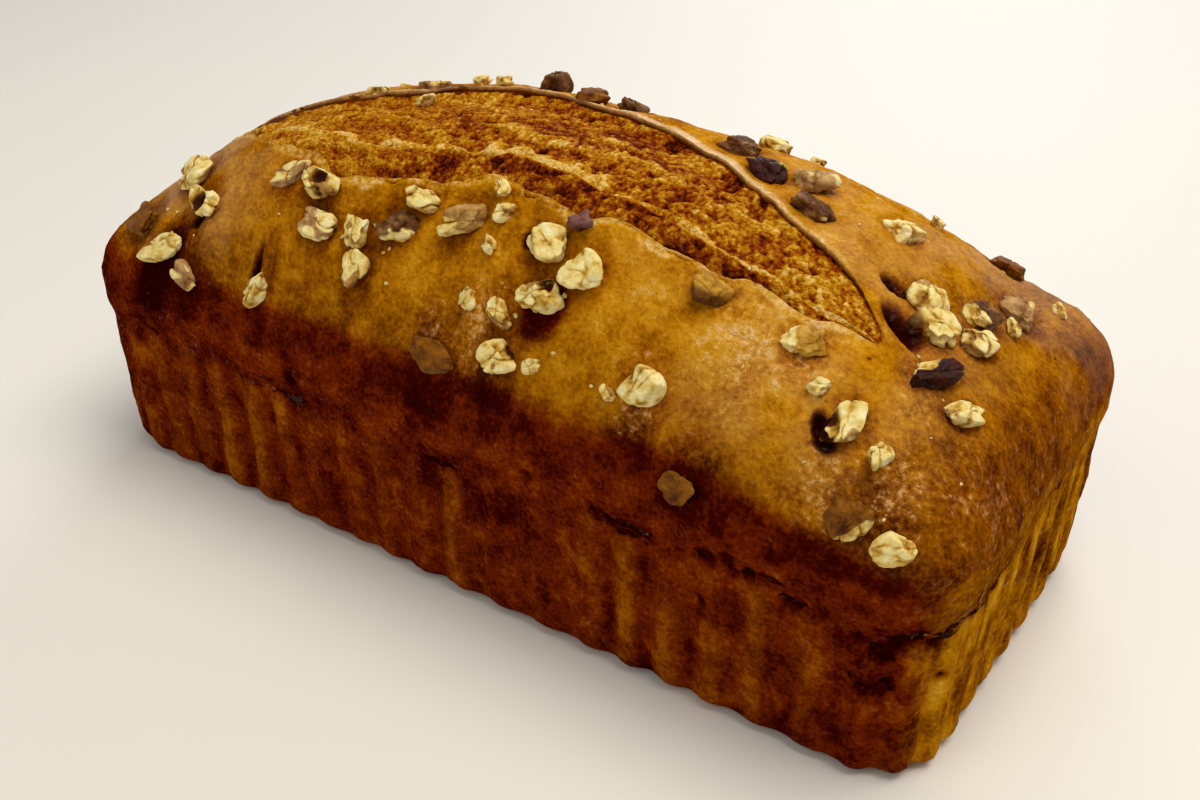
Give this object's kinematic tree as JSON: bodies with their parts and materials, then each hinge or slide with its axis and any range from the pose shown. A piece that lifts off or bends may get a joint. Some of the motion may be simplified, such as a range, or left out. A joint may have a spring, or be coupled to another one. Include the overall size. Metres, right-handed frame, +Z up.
{
  "type": "banana bread loaf",
  "caption": "Whole banana bread loaf with pleated sides from its paper liner, a long split along the domed top showing coarse crumb, and chopped walnuts on the crust.",
  "frame": {"origin": "centre of the box around the loaf, on the flat base it stands on", "axes": "+X along the loaf's length, +Y across it, away from the better seen long side, +Z up"},
  "size_m": [0.215, 0.1002, 0.0928],
  "materials": {
    "crust": "browned cake crust with a slight oily sheen",
    "walnut_pale": "broken walnut meat, toasted pale",
    "walnut_tan": "walnut meat with its tan skin",
    "walnut_brown": "walnut under a brown film of crust",
    "walnut_dark": "dark, nearly burnt walnut skin"
  },
  "bodies": {
    "root": {"loaf": "crust", "nut_01": "walnut_pale", "nut_02": "walnut_pale", "nut_03": "walnut_brown", "nut_04": "walnut_pale", "nut_05": "walnut_tan", "nut_06": "walnut_pale", "nut_07": "walnut_tan", "nut_08": "walnut_pale", "nut_09": "walnut_tan", "nut_10": "walnut_pale", "nut_11": "walnut_pale", "nut_12": "walnut_dark", "nut_13": "walnut_pale", "nut_14": "walnut_pale", "nut_15": "walnut_pale", "nut_16": "walnut_pale", "nut_17": "walnut_pale", "nut_18": "walnut_pale", "nut_19": "walnut_pale", "nut_20": "walnut_brown", "nut_21": "walnut_pale", "nut_22": "walnut_brown", "nut_23": "walnut_tan", "nut_24": "walnut_tan", "nut_25": "walnut_pale", "nut_26": "walnut_brown", "nut_27": "walnut_pale", "nut_28": "walnut_dark", "nut_29": "walnut_pale", "nut_30": "walnut_pale", "nut_31": "walnut_pale", "nut_32": "walnut_pale", "nut_33": "walnut_dark", "nut_34": "walnut_tan", "nut_35": "walnut_pale", "nut_36": "walnut_tan", "nut_37": "walnut_dark", "nut_38": "walnut_dark", "nut_39": "walnut_dark", "nut_40": "walnut_pale", "nut_41": "walnut_dark", "nut_42": "walnut_brown", "nut_43": "walnut_dark", "nut_44": "walnut_tan", "nut_45": "walnut_pale", "nut_46": "walnut_pale", "nut_47": "walnut_pale", "nut_48": "walnut_tan", "nut_49": "walnut_pale", "nut_50": "walnut_brown"}
  },
  "joints": []
}
